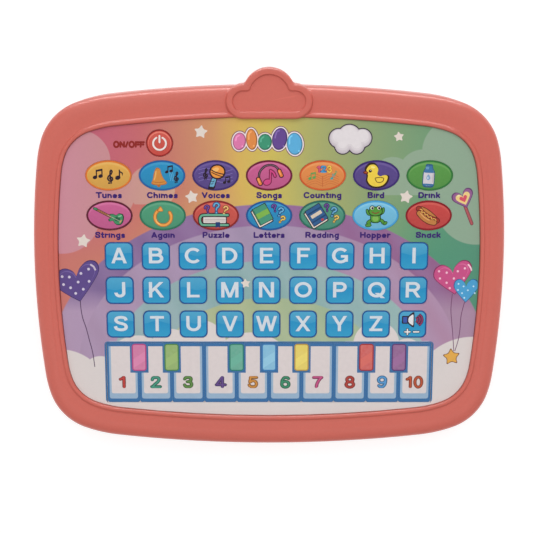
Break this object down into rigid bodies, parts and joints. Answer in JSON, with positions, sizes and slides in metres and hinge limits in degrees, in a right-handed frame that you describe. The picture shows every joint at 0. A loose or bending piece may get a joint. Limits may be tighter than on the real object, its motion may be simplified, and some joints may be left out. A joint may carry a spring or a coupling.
{
  "type": "kids toy tablet",
  "caption": "Flat battery-powered learning tablet: salmon two-piece housing with a cloud crest round a printed film of letter, picture and piano keys, with speaker and battery bay behind.",
  "frame": {"origin": "centre of the footprint's bounding box on the rest plane, with the tablet lying on its back", "axes": "+Z out of the key face, +Y towards the cloud crest, +X to the right of a child who reads the keys"},
  "size_m": [0.256, 0.2084, 0.028],
  "materials": {
    "housing": "smooth satin moulded plastic, salmon pink",
    "film": "semi-gloss printed film with a pastel rainbow picture",
    "membrane": "laminated clear and white polyester",
    "board": "green solder mask",
    "components": "black epoxy and moulded parts",
    "screw_steel": "zinc-plated steel",
    "basket_steel": "pressed steel",
    "cone_paper": "black treated paper",
    "cell_jacket": "printed foil jacket with a bright button",
    "contact_metal": "nickel-plated spring steel",
    "lead_sleeve": "soft PVC sleeve, red",
    "letter_key": "semi-gloss film printed blue",
    "power_key": "semi-gloss film printed red",
    "white_key": "semi-gloss film printed white",
    "colour_key": "semi-gloss film, each key printed in its own colour",
    "oval_melody": "semi-gloss film printed with a small picture",
    "oval_ringing": "semi-gloss film printed with a small picture",
    "oval_singing": "semi-gloss film printed with a small picture",
    "oval_music": "semi-gloss film printed with a small picture",
    "oval_counting_song": "semi-gloss film printed with a small picture",
    "oval_duck": "semi-gloss film printed with a small picture",
    "oval_milk": "semi-gloss film printed with a small picture",
    "oval_instrument": "semi-gloss film printed with a small picture",
    "oval_repeat": "semi-gloss film printed with a small picture",
    "oval_question": "semi-gloss film printed with a small picture",
    "oval_question_spell": "semi-gloss film printed with a small picture",
    "oval_question_word": "semi-gloss film printed with a small picture",
    "oval_frog": "semi-gloss film printed with a small picture",
    "oval_hot_dog": "semi-gloss film printed with a small picture"
  },
  "bodies": {
    "case": {"front_housing": "housing", "rear_housing": "housing", "face_film": "film", "membrane_switch": "membrane", "circuit_board": "board", "board_components": "components", "board_screws": "screw_steel", "speaker_frame": "basket_steel", "battery_cells": "cell_jacket", "battery_contacts": "contact_metal", "case_screws": "screw_steel", "wiring": "lead_sleeve"},
    "battery_door": {"battery_door": "housing"},
    "door_screw": {"door_screw": "screw_steel"},
    "speaker_cone": {"speaker_cone": "cone_paper"},
    "key_power": {"key_power": "power_key"},
    "white_keys": {"white_keys": "white_key"},
    "colour_keys": {"colour_keys": "colour_key"},
    "key_volume": {"key_volume": "letter_key"},
    "key_melody": {"key_melody": "oval_melody"},
    "key_ringing": {"key_ringing": "oval_ringing"},
    "key_singing": {"key_singing": "oval_singing"},
    "key_music": {"key_music": "oval_music"},
    "key_counting_song": {"key_counting_song": "oval_counting_song"},
    "key_duck": {"key_duck": "oval_duck"},
    "key_milk": {"key_milk": "oval_milk"},
    "key_instrument": {"key_instrument": "oval_instrument"},
    "key_repeat": {"key_repeat": "oval_repeat"},
    "key_question": {"key_question": "oval_question"},
    "key_question_spell": {"key_question_spell": "oval_question_spell"},
    "key_question_word": {"key_question_word": "oval_question_word"},
    "key_frog": {"key_frog": "oval_frog"},
    "key_hot_dog": {"key_hot_dog": "oval_hot_dog"},
    "key_a": {"key_a": "letter_key"},
    "key_b": {"key_b": "letter_key"},
    "key_c": {"key_c": "letter_key"},
    "key_d": {"key_d": "letter_key"},
    "key_e": {"key_e": "letter_key"},
    "key_f": {"key_f": "letter_key"},
    "key_g": {"key_g": "letter_key"},
    "key_h": {"key_h": "letter_key"},
    "key_i": {"key_i": "letter_key"},
    "key_j": {"key_j": "letter_key"},
    "key_k": {"key_k": "letter_key"},
    "key_l": {"key_l": "letter_key"},
    "key_m": {"key_m": "letter_key"},
    "key_n": {"key_n": "letter_key"},
    "key_o": {"key_o": "letter_key"},
    "key_p": {"key_p": "letter_key"},
    "key_q": {"key_q": "letter_key"},
    "key_r": {"key_r": "letter_key"},
    "key_s": {"key_s": "letter_key"},
    "key_t": {"key_t": "letter_key"},
    "key_u": {"key_u": "letter_key"},
    "key_v": {"key_v": "letter_key"},
    "key_w": {"key_w": "letter_key"},
    "key_x": {"key_x": "letter_key"},
    "key_y": {"key_y": "letter_key"},
    "key_z": {"key_z": "letter_key"}
  },
  "joints": [
    {"name": "battery_door_hinge", "type": "hinge", "parent": "case", "child": "battery_door", "pos_m": [0, -0.072, 0.0017], "axis": [-1, 0, 0], "range_deg": [0, 75]},
    {"name": "door_screw_turn", "type": "hinge", "parent": "battery_door", "child": "door_screw", "pos_m": [0, -0.0155, 0.0015], "axis": [0, 0, -1], "continuous": true},
    {"name": "speaker_cone_travel", "type": "slide", "parent": "case", "child": "speaker_cone", "axis": [0, 0, 1], "range_m": [-0.0004, 0.0004], "stiffness_N_per_m": 1500},
    {"name": "key_power_press", "type": "slide", "parent": "case", "child": "key_power", "axis": [0, 0, -1], "range_m": [0, 0.0004], "stiffness_N_per_m": 2000},
    {"name": "white_keys_press", "type": "slide", "parent": "case", "child": "white_keys", "axis": [0, 0, -1], "range_m": [0, 0.0004], "stiffness_N_per_m": 2500},
    {"name": "colour_keys_press", "type": "slide", "parent": "case", "child": "colour_keys", "axis": [0, 0, -1], "range_m": [0, 0.0004], "stiffness_N_per_m": 2500},
    {"name": "key_volume_press", "type": "slide", "parent": "case", "child": "key_volume", "axis": [0, 0, -1], "range_m": [0, 0.0004], "stiffness_N_per_m": 2000},
    {"name": "key_melody_press", "type": "slide", "parent": "case", "child": "key_melody", "axis": [0, 0, -1], "range_m": [0, 0.0004], "stiffness_N_per_m": 2000},
    {"name": "key_ringing_press", "type": "slide", "parent": "case", "child": "key_ringing", "axis": [0, 0, -1], "range_m": [0, 0.0004], "stiffness_N_per_m": 2000},
    {"name": "key_singing_press", "type": "slide", "parent": "case", "child": "key_singing", "axis": [0, 0, -1], "range_m": [0, 0.0004], "stiffness_N_per_m": 2000},
    {"name": "key_music_press", "type": "slide", "parent": "case", "child": "key_music", "axis": [0, 0, -1], "range_m": [0, 0.0004], "stiffness_N_per_m": 2000},
    {"name": "key_counting_song_press", "type": "slide", "parent": "case", "child": "key_counting_song", "axis": [0, 0, -1], "range_m": [0, 0.0004], "stiffness_N_per_m": 2000},
    {"name": "key_duck_press", "type": "slide", "parent": "case", "child": "key_duck", "axis": [0, 0, -1], "range_m": [0, 0.0004], "stiffness_N_per_m": 2000},
    {"name": "key_milk_press", "type": "slide", "parent": "case", "child": "key_milk", "axis": [0, 0, -1], "range_m": [0, 0.0004], "stiffness_N_per_m": 2000},
    {"name": "key_instrument_press", "type": "slide", "parent": "case", "child": "key_instrument", "axis": [0, 0, -1], "range_m": [0, 0.0004], "stiffness_N_per_m": 2000},
    {"name": "key_repeat_press", "type": "slide", "parent": "case", "child": "key_repeat", "axis": [0, 0, -1], "range_m": [0, 0.0004], "stiffness_N_per_m": 2000},
    {"name": "key_question_press", "type": "slide", "parent": "case", "child": "key_question", "axis": [0, 0, -1], "range_m": [0, 0.0004], "stiffness_N_per_m": 2000},
    {"name": "key_question_spell_press", "type": "slide", "parent": "case", "child": "key_question_spell", "axis": [0, 0, -1], "range_m": [0, 0.0004], "stiffness_N_per_m": 2000},
    {"name": "key_question_word_press", "type": "slide", "parent": "case", "child": "key_question_word", "axis": [0, 0, -1], "range_m": [0, 0.0004], "stiffness_N_per_m": 2000},
    {"name": "key_frog_press", "type": "slide", "parent": "case", "child": "key_frog", "axis": [0, 0, -1], "range_m": [0, 0.0004], "stiffness_N_per_m": 2000},
    {"name": "key_hot_dog_press", "type": "slide", "parent": "case", "child": "key_hot_dog", "axis": [0, 0, -1], "range_m": [0, 0.0004], "stiffness_N_per_m": 2000},
    {"name": "key_a_press", "type": "slide", "parent": "case", "child": "key_a", "axis": [0, 0, -1], "range_m": [0, 0.0004], "stiffness_N_per_m": 2000},
    {"name": "key_b_press", "type": "slide", "parent": "case", "child": "key_b", "axis": [0, 0, -1], "range_m": [0, 0.0004], "stiffness_N_per_m": 2000},
    {"name": "key_c_press", "type": "slide", "parent": "case", "child": "key_c", "axis": [0, 0, -1], "range_m": [0, 0.0004], "stiffness_N_per_m": 2000},
    {"name": "key_d_press", "type": "slide", "parent": "case", "child": "key_d", "axis": [0, 0, -1], "range_m": [0, 0.0004], "stiffness_N_per_m": 2000},
    {"name": "key_e_press", "type": "slide", "parent": "case", "child": "key_e", "axis": [0, 0, -1], "range_m": [0, 0.0004], "stiffness_N_per_m": 2000},
    {"name": "key_f_press", "type": "slide", "parent": "case", "child": "key_f", "axis": [0, 0, -1], "range_m": [0, 0.0004], "stiffness_N_per_m": 2000},
    {"name": "key_g_press", "type": "slide", "parent": "case", "child": "key_g", "axis": [0, 0, -1], "range_m": [0, 0.0004], "stiffness_N_per_m": 2000},
    {"name": "key_h_press", "type": "slide", "parent": "case", "child": "key_h", "axis": [0, 0, -1], "range_m": [0, 0.0004], "stiffness_N_per_m": 2000},
    {"name": "key_i_press", "type": "slide", "parent": "case", "child": "key_i", "axis": [0, 0, -1], "range_m": [0, 0.0004], "stiffness_N_per_m": 2000},
    {"name": "key_j_press", "type": "slide", "parent": "case", "child": "key_j", "axis": [0, 0, -1], "range_m": [0, 0.0004], "stiffness_N_per_m": 2000},
    {"name": "key_k_press", "type": "slide", "parent": "case", "child": "key_k", "axis": [0, 0, -1], "range_m": [0, 0.0004], "stiffness_N_per_m": 2000},
    {"name": "key_l_press", "type": "slide", "parent": "case", "child": "key_l", "axis": [0, 0, -1], "range_m": [0, 0.0004], "stiffness_N_per_m": 2000},
    {"name": "key_m_press", "type": "slide", "parent": "case", "child": "key_m", "axis": [0, 0, -1], "range_m": [0, 0.0004], "stiffness_N_per_m": 2000},
    {"name": "key_n_press", "type": "slide", "parent": "case", "child": "key_n", "axis": [0, 0, -1], "range_m": [0, 0.0004], "stiffness_N_per_m": 2000},
    {"name": "key_o_press", "type": "slide", "parent": "case", "child": "key_o", "axis": [0, 0, -1], "range_m": [0, 0.0004], "stiffness_N_per_m": 2000},
    {"name": "key_p_press", "type": "slide", "parent": "case", "child": "key_p", "axis": [0, 0, -1], "range_m": [0, 0.0004], "stiffness_N_per_m": 2000},
    {"name": "key_q_press", "type": "slide", "parent": "case", "child": "key_q", "axis": [0, 0, -1], "range_m": [0, 0.0004], "stiffness_N_per_m": 2000},
    {"name": "key_r_press", "type": "slide", "parent": "case", "child": "key_r", "axis": [0, 0, -1], "range_m": [0, 0.0004], "stiffness_N_per_m": 2000},
    {"name": "key_s_press", "type": "slide", "parent": "case", "child": "key_s", "axis": [0, 0, -1], "range_m": [0, 0.0004], "stiffness_N_per_m": 2000},
    {"name": "key_t_press", "type": "slide", "parent": "case", "child": "key_t", "axis": [0, 0, -1], "range_m": [0, 0.0004], "stiffness_N_per_m": 2000},
    {"name": "key_u_press", "type": "slide", "parent": "case", "child": "key_u", "axis": [0, 0, -1], "range_m": [0, 0.0004], "stiffness_N_per_m": 2000},
    {"name": "key_v_press", "type": "slide", "parent": "case", "child": "key_v", "axis": [0, 0, -1], "range_m": [0, 0.0004], "stiffness_N_per_m": 2000},
    {"name": "key_w_press", "type": "slide", "parent": "case", "child": "key_w", "axis": [0, 0, -1], "range_m": [0, 0.0004], "stiffness_N_per_m": 2000},
    {"name": "key_x_press", "type": "slide", "parent": "case", "child": "key_x", "axis": [0, 0, -1], "range_m": [0, 0.0004], "stiffness_N_per_m": 2000},
    {"name": "key_y_press", "type": "slide", "parent": "case", "child": "key_y", "axis": [0, 0, -1], "range_m": [0, 0.0004], "stiffness_N_per_m": 2000},
    {"name": "key_z_press", "type": "slide", "parent": "case", "child": "key_z", "axis": [0, 0, -1], "range_m": [0, 0.0004], "stiffness_N_per_m": 2000}
  ]
}
